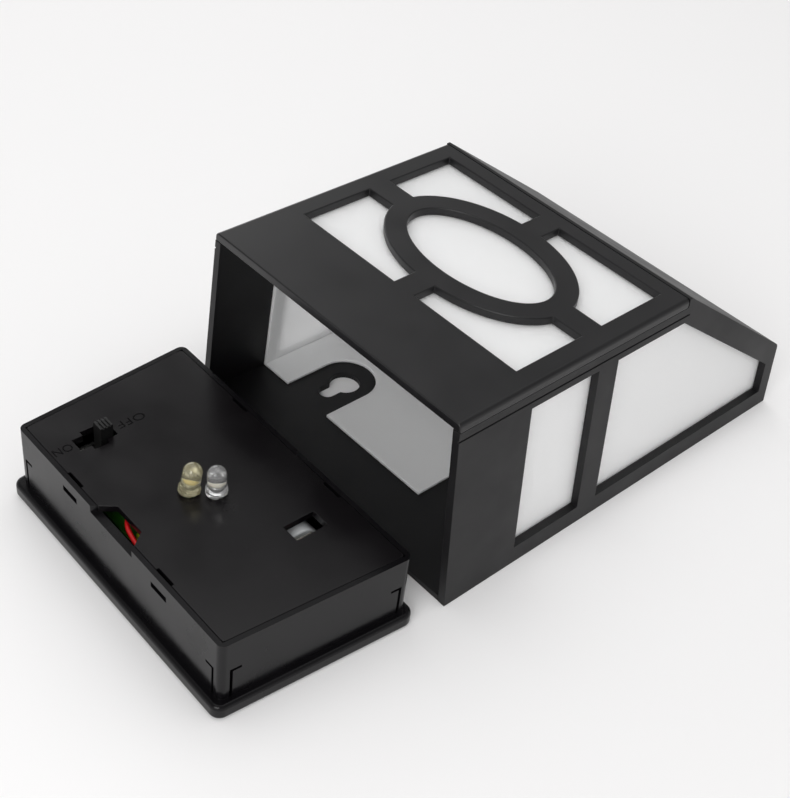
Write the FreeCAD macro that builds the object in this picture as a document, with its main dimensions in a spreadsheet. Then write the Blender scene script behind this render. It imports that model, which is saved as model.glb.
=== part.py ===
"""A solar fence light, lying on its back with its solar module taken out.

The housing is a wedge-ended lantern: a moulded shell, a front frame with an
oval grille, a back plate with two keyholes and a frosted liner.  The solar
module lies upside down beside the mouth: a flanged case, a snap-in cover, two
lamps, a slide switch, a cell in its holder and the board that joins them.

X runs along the width, Y from the mouth to the tapered end, Z up from the back.
The origin is on the back face, midway between the two keyholes.
"""
import FreeCAD, Part
import math
import os
import re

import Sketcher
from FreeCAD import Placement, Rotation, Vector

doc = FreeCAD.newDocument("fence_light")

# ---------------------------------------------------------------- driving sizes

SIZES = {
    # housing
    "back_width": 105.0,
    "front_width": 95.0,
    "body_depth": 59.5,
    "body_length": 140.0,
    "front_length": 87.3,
    "end_height": 21.4,
    "wall": 2.4,
    "front_thick": 2.6,
    "back_thick": 2.0,
    "seam": 0.1,
    "frame_lip": 1.1,
    "edge_round": 1.3,
    "end_round": 2.0,
    "groove_drop": 2.4,
    "groove_wide": 0.5,
    "groove_deep": 0.4,
    # oval grille in the front frame
    "grille_edge": 6.5,
    "grille_start": 25.4,
    "pane_length": 24.0,
    "spoke_wide": 7.8,
    "ring_long": 31.8,
    "ring_short": 20.7,
    "ring_band": 6.7,
    # side windows
    "side_start": 25.5,
    "side_pane": 25.1,
    "side_bar": 7.7,
    "side_foot": 5.7,
    "side_head": 7.5,
    "side_end": 4.6,
    "slope_edge": 7.0,
    # keyholes
    "key_from_mouth": 35.5,
    "key_spacing": 58.0,
    "key_radius": 4.6,
    "key_slot_radius": 2.5,
    "key_slot_reach": 7.0,
    # frosted liner
    "liner_setback": 20.6,
    "liner_thick": 1.0,
    "liner_gap": 0.2,
    "notch_radius": 9.0,
    "notch_rise": 0.5,
    # solar module: where it lies, and its case
    "module_x": -0.4,
    "module_away": 37.7,
    "module_turn": -1.15,
    "module_height": 23.8,
    "flange_thick": 4.5,
    "flange_inset": 0.7,
    "flange_corner": 3.0,
    "flange_edge": 1.2,
    "plug_fit": 0.4,
    "case_corner": 2.0,
    "case_wall": 2.4,
    "case_lip": 1.4,
    "cover_thick": 2.0,
    "cover_gap": 0.15,
    "snap_spread": 39.6,
    "snap_wide": 6.4,
    "snap_high": 1.8,
    "snap_drop": 3.0,
    "snap_nose": 1.3,
    "snap_tongue": 1.2,
    "snap_notch": 0.8,
    "cut_spare": 1.0,
    "slit_wide": 0.8,
    "slit_high": 10.0,
    "slit_hook": 2.4,
    "slit_inset": 3.0,
    "notch_wide": 20.0,
    "notch_narrow": 10.5,
    "notch_deep": 5.4,
    "notch_low": 2.2,
    "notch_x": -0.8,
    "wire_hole_x": 16.0,
    "wire_hole_y": -17.0,
    "wire_hole_radius": 2.0,
    "peep_x": 25.8,
    "peep_y": 12.2,
    "peep_long": 5.6,
    "peep_wide": 9.4,
    # solar panel under the flange
    "panel_long": 82.0,
    "panel_wide": 46.0,
    "panel_corner": 1.5,
    "panel_recess": 2.6,
    "panel_gap": 0.2,
    "resin_thick": 0.7,
    "cell_thick": 0.3,
    "board_back": 0.9,
    "seal_thick": 0.4,
    "seal_wide": 2.5,
    "cell_count": 6,
    "cell_space": 0.6,
    "cell_margin": 3.0,
    # circuit board and what is on it
    "board_x": -12.5,
    "board_y": -8.9,
    "board_long": 49.0,
    "board_wide": 24.0,
    "board_thick": 1.2,
    "board_level": 14.0,
    "boss_radius": 2.6,
    "boss_sunk": 0.5,
    "boss_bore": 0.95,
    "screw_radius": 0.9,
    "screw_head": 1.9,
    "screw_head_high": 1.2,
    "screw_long": 7.0,
    "screw_inset": 3.4,
    # slide switch
    "switch_x": -30.5,
    "switch_y": -12.2,
    "switch_long": 11.0,
    "switch_wide": 6.0,
    "switch_high": 4.2,
    "switch_travel": 4.0,
    "knob_long": 3.8,
    "knob_wide": 3.6,
    "knob_proud": 3.6,
    "slot_long": 11.0,
    "slot_wide": 4.6,
    "slot_centre": -12.8,
    "slot_arm_long": 4.4,
    "slot_arm_wide": 7.6,
    "rib_deep": 0.4,
    "rib_pitch": 1.0,
    # lamps
    "led_radius": 2.5,
    "led_rim": 2.9,
    "led_rim_thick": 1.0,
    "led_high": 8.6,
    "lead_radius": 0.25,
    "lead_pitch": 2.54,
    "led_hole": 2.2,
    "led_lean": 9.0,
    "led_stand": 0.7,
    # battery and its holder
    "cell_radius": 7.0,
    "cell_long": 48.5,
    "cell_round": 0.5,
    "nub_radius": 2.75,
    "nub_high": 1.2,
    "battery_x": -0.2,
    "battery_y": 12.2,
    "holder_wall": 1.1,
    "holder_high": 8.5,
    "contact_thick": 0.4,
    "spring_room": 5.0,
    "thumb_gap": 16.0,
    "contact_wide": 10.0,
    "contact_high": 12.0,
    "contact_lug": 2.2,
    "fit": 0.2,
    # small parts on the board
    "chip_x": -15.0,
    "chip_y": -9.0,
    "chip_long": 4.6,
    "chip_wide": 3.6,
    "chip_high": 3.4,
    "chip_leg": 1.4,
    "chip_leg_wide": 0.4,
    "coil_x": -7.6,
    "coil_y": -4.4,
    "coil_radius": 2.6,
    "coil_high": 5.4,
    "coil_core_radius": 2.2,
    "coil_flange": 0.9,
    "resistor_x": -22.6,
    "resistor_y": -15.6,
    "resistor_long": 6.4,
    "resistor_radius": 1.15,
    "resistor_waist": 1.0,
    # wires
    "wire_radius": 0.65,
}

SIZES_SHEET = "Sizes"
sheet = doc.addObject("Spreadsheet::Sheet", SIZES_SHEET)
for row, (name, value) in enumerate(SIZES.items(), start=1):
    sheet.set("A%d" % row, name)
    sheet.set("B%d" % row, repr(value))
    sheet.setAlias("B%d" % row, name)
doc.recompute()

SIZE_WORD = re.compile(r"\b(%s)\b" % "|".join(sorted(SIZES, key=len, reverse=True)))


def size(name):
    """A driving size, read from the sheet."""
    return float(sheet.get(name))


def tied(rule):
    """A rule written with the sheet's names, as an expression of the document."""
    return SIZE_WORD.sub(SIZES_SHEET + r".\1", rule)


def worth(rule):
    """The number that a rule comes to, worked out in a spare cell of the sheet."""
    sheet.set("D1", "=" + rule)
    sheet.recompute()
    return float(sheet.get("D1"))


def tie(thing, rules):
    """Tie each named property of a thing to its rule."""
    for prop, rule in rules.items():
        thing.setExpression(prop, tied(rule))


def set_base(thing, x, y, z):
    tie(thing, {"Placement.Base.x": x, "Placement.Base.y": y, "Placement.Base.z": z})


# ------------------------------------------------------------- shape vocabulary

PLANE_TURN = {
    "XY": Rotation(),
    "XZ": Rotation(Vector(1, 0, 0), 90),
    "YZ": Rotation(Vector(1, 1, 1), 120),
}


def draw_loop(sketch, corners):
    """A closed polygon whose corners are tied to pairs of rules."""
    spots = [Vector(worth(x), worth(y), 0) for x, y in corners]
    first = sketch.GeometryCount
    for here, there in zip(spots, spots[1:] + spots[:1]):
        sketch.addGeometry(Part.LineSegment(here, there), False)
    count = len(spots)
    for side in range(count):
        following = first + (side + 1) % count
        sketch.addConstraint(Sketcher.Constraint("Coincident", first + side, 2, following, 1))
    for side, (x, y) in enumerate(corners):
        for kind, rule in (("DistanceX", x), ("DistanceY", y)):
            spot = Sketcher.Constraint(kind, -1, 1, first + side, 1, worth(rule))
            index = sketch.addConstraint(spot)
            sketch.setExpression("Constraints[%d]" % index, tied(rule))


def prism(name, plane, corners, length, start="0", centred=False):
    """A polygon on a plane, extruded along the plane's normal."""
    sketch = doc.addObject("Sketcher::SketchObject", name + "_outline")
    sketch.Placement = Placement(Vector(), PLANE_TURN[plane])
    draw_loop(sketch, corners)
    axis = {"XY": "z", "XZ": "y", "YZ": "x"}[plane]
    tie(sketch, {"Placement.Base." + axis: start})
    solid = doc.addObject("Part::Extrusion", name)
    solid.Base = sketch
    solid.DirMode = "Normal"
    solid.Solid = True
    solid.Symmetric = centred
    tie(solid, {"LengthFwd": length})
    return solid


def box(name, low, extent):
    """A box from its low corner and its three sides, all rules."""
    solid = doc.addObject("Part::Box", name)
    tie(solid, dict(zip(("Length", "Width", "Height"), extent)))
    set_base(solid, *low)
    return solid


def cylinder(name, base, radius, height, along="Z"):
    """A cylinder standing on a point, along X, Y or Z."""
    solid = doc.addObject("Part::Cylinder", name)
    turns = {"Z": Rotation(), "X": Rotation(Vector(0, 1, 0), 90), "Y": Rotation(Vector(1, 0, 0), -90)}
    solid.Placement = Placement(Vector(), turns[along])
    tie(solid, {"Radius": radius, "Height": height})
    set_base(solid, *base)
    return solid


def oval(name, x, y, z, long, short, height):
    """An upright elliptical column whose long axis lies along X."""
    rim = doc.addObject("Part::Ellipse", name + "_rim")
    tie(rim, {"MajorRadius": long, "MinorRadius": short})
    set_base(rim, x, y, z)
    solid = doc.addObject("Part::Extrusion", name)
    solid.Base = rim
    solid.DirMode = "Custom"
    solid.Dir = Vector(0, 0, 1)
    solid.Solid = True
    tie(solid, {"LengthFwd": height})
    return solid


def cut(name, base, tool):
    result = doc.addObject("Part::Cut", name)
    result.Base = base
    result.Tool = tool
    return result


def common(name, first, second):
    result = doc.addObject("Part::MultiCommon", name)
    result.Shapes = [first, second]
    return result


def fuse(name, shapes):
    result = doc.addObject("Part::MultiFuse", name)
    result.Shapes = shapes
    result.Refine = True
    return result


def group(name, solids):
    """Separate solids that share one node."""
    result = doc.addObject("Part::Compound", name)
    result.Links = solids
    return result


def rounded(name, base, radius, wanted):
    """Round the edges that a test picks out, by one tied radius."""
    doc.recompute()
    result = doc.addObject("Part::Fillet", name)
    result.Base = base
    reach = worth(radius)
    picks = [number for number, edge in enumerate(base.Shape.Edges, start=1) if wanted(edge)]
    result.Edges = [(number, reach, reach) for number in picks]
    return result


def runs_along(edge, axis):
    """True for a straight edge along an axis."""
    if edge.Curve.TypeId != "Part::GeomLine":
        return False
    return abs(edge.tangentAt(edge.FirstParameter).dot(axis)) > 0.999


UP = Vector(0, 0, 1)
LENGTHWAYS = Vector(0, 1, 0)
CROSSWAYS = Vector(1, 0, 0)

# ---------------------------------------------------------------------- housing

LEAN = "(back_width - front_width) / 2 / body_depth"
MOUTH = "(-key_from_mouth)"
SLOPE = "((body_depth - end_height) / (body_length - front_length))"

# A sloping face drawn in by t moves its line down by t times this.  At the end
# wall, also drawn in by t, the line is met t earlier, which lifts it by t * SLOPE.
SLOPE_RUN = "sqrt(1 + %s * %s)" % (SLOPE, SLOPE)
SLOPE_SHIFT = "(%s - %s)" % (SLOPE_RUN, SLOPE)
TOP_SHIFT = "(%s / %s)" % (SLOPE_RUN, SLOPE)


def half_at(z, inset="0"):
    """Half the housing's width at a height, less an inset."""
    return "(back_width / 2 - %s * (%s) - (%s))" % (LEAN, z, inset)


def along(y):
    """A distance from the mouth, as a place on the Y axis."""
    return "(%s + (%s))" % (MOUTH, y)


def wedge_body(name, side, front, back, end, mouth):
    """The housing's outline, drawn in by its own inset on each face."""
    profile = [
        (along(mouth), back),
        (along("body_length - (%s)" % end), back),
        (along("body_length - (%s)" % end), "end_height - %s * (%s)" % (SLOPE_SHIFT, end)),
        (along("front_length - %s * (%s)" % (TOP_SHIFT, end) + " + (%s) / %s" % (front, SLOPE)),
         "body_depth - (%s)" % front),
        (along(mouth), "body_depth - (%s)" % front),
    ]
    length_view = prism(name + "_side", "YZ", profile, "back_width * 2", centred=True)
    low = "(-wall * 2)"
    high = "(body_depth + wall * 2)"
    corners = [
        ("-" + half_at(low, side), low),
        (half_at(low, side), low),
        (half_at(high, side), high),
        ("-" + half_at(high, side), high),
    ]
    end_view = prism(name + "_end", "XZ", corners, "body_length * 4", centred=True)
    return common(name, length_view, end_view)


def mirrored_pair(name, maker):
    """Two like solids, one on each side of the housing's middle."""
    return fuse(name, [maker(name + "_left", "-1"), maker(name + "_right", "1")])


def side_windows():
    """The two panes of each side wall, as one column through both walls."""
    first_end = "(side_start + side_pane)"
    second = "(%s + side_bar)" % first_end
    head = "(body_depth - side_head)"
    last = "(body_length - side_end)"
    drop = "(slope_edge * %s)" % SLOPE_RUN
    sloped = "(end_height - %s + side_end * %s)" % (drop, SLOPE)
    slope_start = "(front_length - (%s - side_head) / %s)" % (drop, SLOPE)
    near = prism("near_pane", "YZ", [
        (along("side_start"), "side_foot"), (along(first_end), "side_foot"),
        (along(first_end), head), (along("side_start"), head),
    ], "back_width * 2", centred=True)
    far = prism("far_pane", "YZ", [
        (along(second), "side_foot"), (along(last), "side_foot"), (along(last), sloped),
        (along(slope_start), head), (along(second), head),
    ], "back_width * 2", centred=True)
    return fuse("side_panes", [near, far])


def make_shell(outer):
    """Side walls, sloping face and end wall, open at the mouth, front and back."""
    inner = wedge_body("shell_room", "wall", "-wall", "-wall", "wall", "-wall")
    walls = cut("shell_walls", outer, inner)
    seat = box("frame_seat", ("-back_width", along("-wall"), "body_depth - front_thick"),
               ("back_width * 2", "front_length - frame_lip + wall", "front_thick * 2"))
    seated = cut("shell_seated", walls, seat)
    windowed = cut("shell_windowed", seated, side_windows())
    groove = "body_depth - front_thick - groove_drop - groove_wide"
    keep = wedge_body("groove_floor", "groove_deep", "-wall", "-wall", "-wall", "-wall")
    band = box("groove_band", ("-back_width", along("-wall"), groove),
               ("back_width * 2", "front_length + wall", "groove_wide"))
    grooved = cut("shell_grooved", windowed, cut("shell_groove", band, keep))
    far_edge = worth(along("body_length"))

    def end_edge(edge):
        middle = edge.CenterOfMass
        outside = abs(middle.y - far_edge) < 0.01 and runs_along(edge, CROSSWAYS)
        return outside and middle.z > 1.0

    return rounded("housing_shell", grooved, "end_round", end_edge)


def grille_windows():
    """Four panes and the oval eye that leave a ring on four spokes."""
    under = "body_depth - front_thick * 2"
    deep = "front_thick * 4"
    pane_wide = "(front_width / 2 - grille_edge - spoke_wide / 2)"
    far_row = "(grille_start + pane_length + spoke_wide)"
    panes = []
    for row_name, row_start in (("near", "grille_start"), ("far", far_row)):
        for side_name, left in (("left", "-(spoke_wide / 2) - %s" % pane_wide), ("right", "spoke_wide / 2")):
            panes.append(box("pane_%s_%s" % (row_name, side_name), (left, along(row_start), under),
                             (pane_wide, "pane_length", deep)))
    middle = along("grille_start + pane_length + spoke_wide / 2")
    ring = oval("ring_column", "0", middle, "body_depth - front_thick * 3", "ring_long", "ring_short",
                "front_thick * 6")
    eye = oval("eye_column", "0", middle, under, "ring_long - ring_band", "ring_short - ring_band", deep)
    return fuse("grille_cuts", [cut("pane_corners", fuse("panes", panes), ring), eye])


def make_front_frame(outer):
    """The flat front with its oval grille, its long edges rounded."""
    slab = box("frame_slab", ("-back_width", along("0"), "body_depth - front_thick"),
               ("back_width * 2", "front_length - frame_lip - seam", "front_thick"))
    plate = common("frame_plate", outer, slab)
    top = size("body_depth")

    def long_edge(edge):
        return abs(edge.CenterOfMass.z - top) < 0.01 and runs_along(edge, LENGTHWAYS)

    smooth = rounded("frame_smooth", plate, "edge_round", long_edge)
    return cut("front_frame", smooth, grille_windows())


def key_hole(name, side):
    """A round hole for a screw's head, and the slot that it hangs in."""
    x = "%s * key_spacing / 2" % side
    head = cylinder(name + "_head", (x, "0", "-back_thick"), "key_radius", "back_thick * 3")
    hang = cylinder(name + "_hang", (x, "-key_slot_reach", "-back_thick"), "key_slot_radius",
                    "back_thick * 3")
    slot = box(name + "_slot", ("%s - key_slot_radius" % x, "-key_slot_reach", "-back_thick"),
               ("key_slot_radius * 2", "key_slot_reach", "back_thick * 3"))
    return fuse(name, [head, hang, slot])


def make_back_plate():
    """The flat back, let in between the walls, with two keyholes."""
    room = wedge_body("plate_room", "wall + seam", "wall", "0", "wall + seam", "0")
    slab = box("plate_slab", ("-back_width", along("-wall"), "0"),
               ("back_width * 2", "body_length * 2", "back_thick"))
    return cut("back_plate", common("plate_blank", room, slab), mirrored_pair("keyholes", key_hole))


def liner_notch(name, side):
    """A round-ended notch in the liner's back panel that clears a keyhole."""
    x = "%s * key_spacing / 2" % side
    low = "back_thick / 2"
    high = "back_thick + liner_gap + liner_thick * 1.5"
    start = along("liner_setback - wall")
    lane = box(name + "_lane", ("%s - notch_radius" % x, start, low),
               ("notch_radius * 2", "notch_rise - (%s)" % start, high))
    arch = cylinder(name + "_arch", (x, "notch_rise", low), "notch_radius", high)
    return fuse(name, [lane, arch])


def make_diffuser():
    """The frosted liner: a thin tray that follows the housing's inside."""
    start = "liner_setback"
    gap = "wall + liner_gap"
    skin = gap + " + liner_thick"
    front = "front_thick + liner_gap"
    back = "back_thick + liner_gap"
    outside = wedge_body("liner_outside", gap, front, back, gap, start)
    inside = wedge_body("liner_inside", skin, front + " + liner_thick", back + " + liner_thick", skin,
                        "-wall")
    return cut("diffuser", cut("liner_tray", outside, inside), mirrored_pair("liner_notches", liner_notch))


# ------------------------------------------------------------ solar module: case

COVER_UNDER = "(module_height - cover_thick)"
CASE_FLOOR = "flange_thick"


def plug_corners(side, front, back):
    """The mouth's outline seen from the module, drawn in on each side.

    The module's own Y runs from the housing's front to its back.
    """
    low = "(-body_depth / 2 + (%s))" % front
    high = "(body_depth / 2 - (%s))" % back
    half_low = half_at("body_depth / 2 - %s" % low, side)
    half_high = half_at("body_depth / 2 - %s" % high, side)
    return [("-" + half_low, low), (half_low, low), (half_high, high), ("-" + half_high, high)]


def plug_inset(extra):
    """The case's outline, drawn in by an extra distance all round."""
    return plug_corners("wall + plug_fit + " + extra, "front_thick + plug_fit + " + extra,
                        "back_thick + plug_fit + " + extra)


def plug_prism(name, extra, start, height):
    return prism(name, "XY", plug_inset(extra), height, start=start)


def near_wall(extra="0"):
    """The case's long wall on the housing's front side, as a place on module Y."""
    return "(-body_depth / 2 + front_thick + plug_fit + (%s))" % extra


def far_wall(extra="0"):
    """The case's long wall on the housing's back side, as a place on module Y."""
    return "(body_depth / 2 - back_thick - plug_fit - (%s))" % extra


def upright(edge):
    return runs_along(edge, UP)


def make_flange():
    """The rim that covers the housing's mouth, round at its corners and edges."""
    plate = prism("flange_plate", "XY", plug_corners("flange_inset", "flange_inset", "flange_inset"),
                  "flange_thick")
    cornered = rounded("flange_cornered", plate, "flange_corner", upright)

    def rim(edge):
        return not upright(edge)

    return rounded("flange", cornered, "flange_edge", rim)


def snap_slots():
    """The windows in the long walls that the cover's hooks catch in."""
    slots = []
    low = COVER_UNDER + " - snap_drop"
    for side_name, x in (("left", "-snap_spread / 2"), ("right", "snap_spread / 2")):
        for wall_name, y in (("near", near_wall("-cut_spare")), ("far", far_wall("case_wall + cut_spare"))):
            slots.append(box("snap_slot_%s_%s" % (wall_name, side_name),
                             ("%s - snap_wide / 2" % x, y, low),
                             ("snap_wide", "case_wall + cut_spare * 2", "snap_high")))
    return slots


def corner_slits():
    """Hooked slits beside the corners of all four walls, which let the corners give."""
    slits = []
    hook_low = CASE_FLOOR + " + slit_high - slit_wide"
    across = "case_wall + cut_spare * 2"
    rows = (("near", near_wall("-cut_spare"), near_wall("slit_inset"), "-1", plug_inset("0")[1][0]),
            ("far", far_wall("case_wall + cut_spare"), far_wall("slit_inset"), "1", plug_inset("0")[2][0]))
    for row_name, wall_y, side_y, way, half in rows:
        for side_name, sign in (("left", "-1"), ("right", "1")):
            tag = row_name + "_" + side_name
            x = "(%s * (%s - slit_inset))" % (sign, half)
            slits.append(box("slit_stem_" + tag, ("%s - slit_wide / 2" % x, wall_y, CASE_FLOOR),
                             ("slit_wide", across, "slit_high")))
            slits.append(box("slit_hook_" + tag,
                             ("%s - slit_wide / 2 - slit_hook * (1 + %s) / 2" % (x, sign), wall_y, hook_low),
                             ("slit_wide + slit_hook", across, "slit_wide")))
            wall_x = "(%s * (%s - case_wall / 2) - (%s) / 2)" % (sign, half, across)
            slits.append(box("slit_side_stem_" + tag, (wall_x, "%s - slit_wide / 2" % side_y, CASE_FLOOR),
                             (across, "slit_wide", "slit_high")))
            hook_y = "%s - slit_wide / 2 - slit_hook * (1 + %s) / 2" % (side_y, way)
            slits.append(box("slit_side_hook_" + tag, (wall_x, hook_y, hook_low),
                             (across, "slit_wide + slit_hook", "slit_wide")))
    return slits


def boss_places():
    """The two board screws, at opposite corners of the board."""
    left = "board_x - board_long / 2 + screw_inset"
    right = "board_x + board_long / 2 - screw_inset"
    low = "board_y - board_wide / 2 + screw_inset"
    high = "board_y + board_wide / 2 - screw_inset"
    return [("a", left, high), ("b", right, low), ("c", right, high), ("d", left, low)]


def finger_notch(name, start, height):
    """The trapezoid in the near edge where a fingertip lifts the cover."""
    lip = near_wall("-cut_spare")
    deep = near_wall("notch_deep")
    corners = [("-notch_wide / 2 + notch_x", lip), ("notch_wide / 2 + notch_x", lip),
               ("notch_narrow / 2 + notch_x", deep), ("-notch_narrow / 2 + notch_x", deep)]
    return prism(name, "XY", corners, height, start=start)


def make_module_case():
    """Flange, walls and floor in one moulding, with bosses for the board."""
    wall_high = "module_height - flange_thick / 2"
    walls = plug_prism("case_block", "0", "flange_thick / 2", wall_high)
    walls = rounded("case_cornered", walls, "case_corner", upright)
    blank = fuse("case_blank", [make_flange(), walls])
    cavity = plug_prism("case_cavity", "case_wall", CASE_FLOOR, "module_height")
    seat = plug_prism("cover_seat", "case_lip", COVER_UNDER, "module_height")
    recess = box("panel_room", ("-panel_long / 2 - panel_gap", "-panel_wide / 2 - panel_gap", "-cut_spare"),
                 ("panel_long + panel_gap * 2", "panel_wide + panel_gap * 2", "panel_recess + cut_spare"))
    wire_hole = cylinder("wire_hole", ("wire_hole_x", "wire_hole_y", "0"), "wire_hole_radius",
                         "flange_thick * 2")
    notch = finger_notch("case_notch", "module_height - notch_low", "module_height")
    trims = [cavity, seat, recess, wire_hole, notch] + snap_slots() + corner_slits()
    hollow = cut("case_hollow", blank, fuse("case_cuts", trims))
    bosses = []
    bores = []
    for tag, x, y in boss_places():
        bosses.append(cylinder("boss_" + tag, (x, y, CASE_FLOOR + " - boss_sunk"), "boss_radius",
                               "board_level - flange_thick + boss_sunk"))
        bores.append(cylinder("boss_bore_" + tag, (x, y, "board_level - screw_long"), "boss_bore",
                              "screw_long * 2"))
    return cut("module_case", fuse("case_bossed", [hollow] + bosses), fuse("boss_bores", bores))


def snap_hook(name, side, wall_y, outward):
    """A tongue under the cover with a nose that catches in a wall's slot."""
    x = "%s * snap_spread / 2" % side
    wide = "(snap_wide - plug_fit * 2)"
    reach = "(snap_drop + snap_tongue)"
    nose_out = "(snap_nose + cover_gap)"
    back = wall_y if outward < 0 else "%s - snap_tongue" % wall_y
    nose = "%s - %s" % (wall_y, nose_out) if outward < 0 else wall_y
    tongue = box(name + "_tongue", ("%s - %s / 2" % (x, wide), back, COVER_UNDER + " - " + reach),
                 (wide, "snap_tongue", reach + " + cover_thick / 2"))
    catch = box(name + "_nose", ("%s - %s / 2" % (x, wide), nose, COVER_UNDER + " - snap_drop + seam"),
                (wide, nose_out, "snap_high - seam * 4"))
    return [tongue, catch]


def hook_notches(start, height):
    """A shallow notch in the cover's edge outside each hook, as its mould leaves it."""
    notches = []
    near = near_wall("case_lip + cover_gap - cut_spare")
    far = far_wall("case_lip + cover_gap + snap_notch")
    for side_name, sign in (("left", "-1"), ("right", "1")):
        for wall_name, y in (("near", near), ("far", far)):
            notches.append(box("hook_notch_%s_%s" % (wall_name, side_name),
                               ("%s * snap_spread / 2 - snap_wide / 2" % sign, y, start),
                               ("snap_wide", "snap_notch + cut_spare", height)))
    return notches


def make_underside_cover():
    """The snap-in cover: holes for switch, lamps and contact, and four hooks."""
    plate = plug_prism("cover_plate", "case_lip + cover_gap", COVER_UNDER, "cover_thick")
    plate = rounded("cover_cornered", plate, "case_corner / 2", upright)
    hooks = []
    for tag, side in (("left", "-1"), ("right", "1")):
        hooks += snap_hook("near_hook_" + tag, side, near_wall("case_wall + cover_gap"), -1)
        hooks += snap_hook("far_hook_" + tag, side, far_wall("case_wall + cover_gap"), 1)
    under = COVER_UNDER + " - cut_spare"
    deep = "cover_thick + cut_spare * 2"
    slot = box("switch_slot", ("switch_x - slot_wide / 2", "slot_centre - slot_long / 2", under),
               ("slot_wide", "slot_long", deep))
    peep = box("peep_hole", ("peep_x - peep_long / 2", "peep_y - peep_wide / 2", under),
               ("peep_long", "peep_wide", deep))
    arms = box("switch_slot_arms", ("switch_x - slot_arm_wide / 2", "slot_centre - slot_arm_long / 2", under),
               ("slot_arm_wide", "slot_arm_long", deep))
    holes = [slot, arms, peep, finger_notch("cover_notch", under, deep)] + hook_notches(under, deep)
    for tag, x, y in LED_PLACES:
        holes.append(cylinder("led_hole_" + tag, (x, y, under), "led_hole", deep))
    return cut("underside_cover", fuse("cover_hooked", [plate] + hooks), fuse("cover_holes", holes))


# ----------------------------------------------------- solar panel in the flange

def layer(name, top, thick, inset="0"):
    """A flat layer of the solar panel, its corners round."""
    long = "panel_long / 2 - (%s)" % inset
    wide = "panel_wide / 2 - (%s)" % inset
    left = "-(%s)" % long
    near = "-(%s)" % wide
    corners = [(left, near), (long, near), (long, wide), (left, wide)]
    plate = prism(name + "_sheet", "XY", corners, thick, start="%s - (%s)" % (top, thick))
    return rounded(name, plate, "panel_corner", upright)


BOARD_TOP = "(panel_recess - seal_thick)"


def make_panel_seal():
    """The foam frame that the solar panel is bedded on."""
    corners = layer("seal_outside", "panel_recess", "seal_thick")
    core = box("seal_core", ("-panel_long / 2 + seal_wide", "-panel_wide / 2 + seal_wide", "0"),
               ("panel_long - seal_wide * 2", "panel_wide - seal_wide * 2", "panel_recess * 2"))
    return cut("panel_seal", corners, core)


def make_panel_board():
    return layer("panel_board", BOARD_TOP, "board_back")


def make_solar_cells():
    """A row of like cell strips on the face of the panel's board."""
    count = int(size("cell_count"))
    pitch = "((panel_long - cell_margin * 2 + cell_space) / cell_count)"
    strips = []
    for number in range(count):
        strips.append(box("cell_strip_%d" % number,
                          ("-panel_long / 2 + cell_margin + %d * %s" % (number, pitch),
                           "-panel_wide / 2 + cell_margin", BOARD_TOP + " - board_back - cell_thick"),
                          (pitch + " - cell_space", "panel_wide - cell_margin * 2", "cell_thick")))
    return group("solar_cells", strips)


def make_panel_resin():
    """The clear cast over the cells, open behind them where they lie."""
    block = layer("resin_block", BOARD_TOP + " - board_back", "resin_thick")
    pitch = "((panel_long - cell_margin * 2 + cell_space) / cell_count)"
    beds = []
    for number in range(int(size("cell_count"))):
        beds.append(box("cell_bed_%d" % number,
                        ("-panel_long / 2 + cell_margin + %d * %s" % (number, pitch),
                         "-panel_wide / 2 + cell_margin", BOARD_TOP + " - board_back - cell_thick"),
                        (pitch + " - cell_space", "panel_wide - cell_margin * 2", "cell_thick * 2")))
    return cut("panel_resin", block, fuse("cell_beds", beds))


# ----------------------------------------------------------- board and its parts

BOARD_FACE = "(board_level + board_thick)"
LED_PLACES = [("near", "-0.2", "-4.4"), ("far", "4.0", "1.0")]


def make_circuit_board():
    plate = box("board_plate", ("board_x - board_long / 2", "board_y - board_wide / 2", "board_level"),
                ("board_long", "board_wide", "board_thick"))
    plate = rounded("board_cornered", plate, "panel_corner", upright)
    bores = [cylinder("board_bore_" + tag, (x, y, "board_level - cut_spare"), "screw_radius + fit",
                      "board_thick + cut_spare * 2") for tag, x, y in boss_places()]
    return cut("circuit_board", plate, fuse("board_bores", bores))


def make_board_screws():
    """Pan-head screws through the board into the bosses."""
    screws = []
    for tag, x, y in boss_places()[:2]:
        shank = cylinder("screw_shank_" + tag, (x, y, BOARD_FACE + " - screw_long + board_thick"),
                         "screw_radius", "screw_long - board_thick")
        head = cylinder("screw_head_" + tag, (x, y, BOARD_FACE), "screw_head", "screw_head_high")
        cross = []
        arms = {"x": ("screw_head", "screw_head / 4"), "y": ("screw_head / 4", "screw_head")}
        for arm, (dx, dy) in arms.items():
            cross.append(box("screw_cross_%s_%s" % (tag, arm),
                             ("%s - (%s) / 2" % (x, dx), "%s - (%s) / 2" % (y, dy),
                              BOARD_FACE + " + screw_head_high / 2"), (dx, dy, "screw_head_high")))
        screws.append(cut("board_screw_" + tag, fuse("screw_blank_" + tag, [shank, head]),
                          fuse("screw_recess_" + tag, cross)))
    return group("board_screws", screws)


def make_switch_body():
    """The switch's metal can, with the opening that its knob slides in."""
    can = box("switch_can", ("switch_x - switch_wide / 2", "switch_y - switch_long / 2", BOARD_FACE),
              ("switch_wide", "switch_long", "switch_high"))
    room = box("switch_room", ("switch_x - knob_wide / 2 - fit", "switch_y - switch_long / 2 + fit * 5",
                               BOARD_FACE + " + switch_high / 2"),
               ("knob_wide + fit * 2", "switch_long - fit * 10", "switch_high"))
    return cut("switch_body", can, room)


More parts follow.
